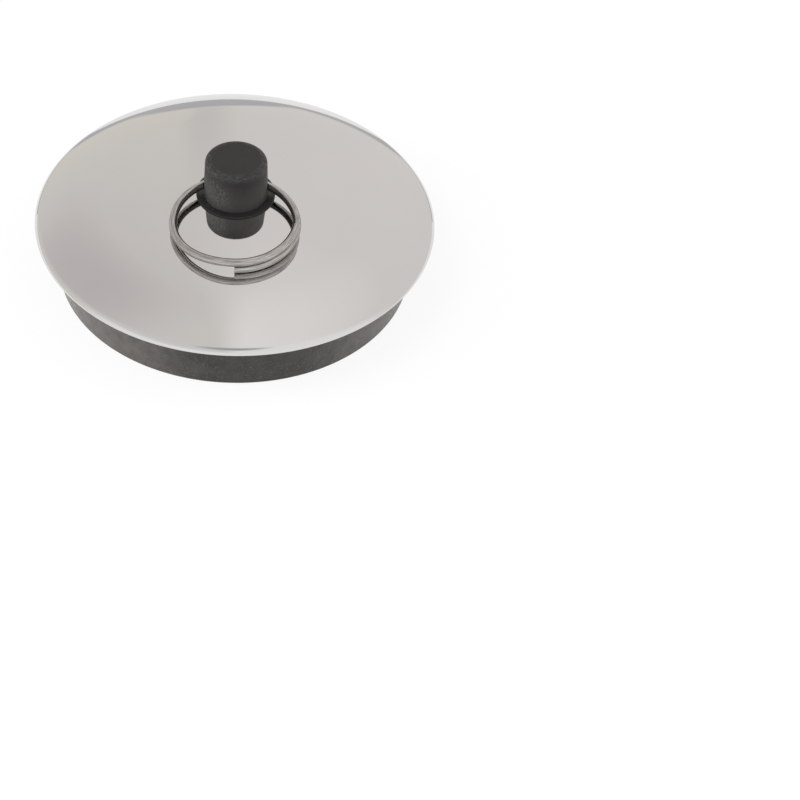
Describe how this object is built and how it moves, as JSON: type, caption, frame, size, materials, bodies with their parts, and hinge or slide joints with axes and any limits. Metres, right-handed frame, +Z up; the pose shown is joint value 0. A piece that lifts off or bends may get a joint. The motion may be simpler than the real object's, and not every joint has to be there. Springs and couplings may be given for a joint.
{
  "type": "drain stopper",
  "caption": "Drain stopper with a domed polished steel cover buttoned over a hollow black rubber plug, and a wire pull ring that swings in an eye across the rubber knob.",
  "frame": {"origin": "centre of the plug's underside, where the stopper stands", "axes": "+Z up along the plug's axis, the knob's eye runs along X, and at rest the ring lies on the cover towards -Y"},
  "size_m": [0.0848, 0.0848, 0.0294],
  "materials": {
    "polished_steel": "mirror-polished stainless sheet",
    "black_rubber": "moulded, matt, slightly dusty",
    "ring_steel": "bright drawn wire"
  },
  "bodies": {
    "stopper": {"cover_plate": "polished_steel", "rubber_plug": "black_rubber"},
    "ring": {"split_ring": "ring_steel"}
  },
  "joints": [
    {"name": "ring_swing", "type": "hinge", "parent": "stopper", "child": "ring", "pos_m": [0, 0.0009, 0.02243], "axis": [-1, 0, 0], "range_deg": [0, 186]}
  ]
}
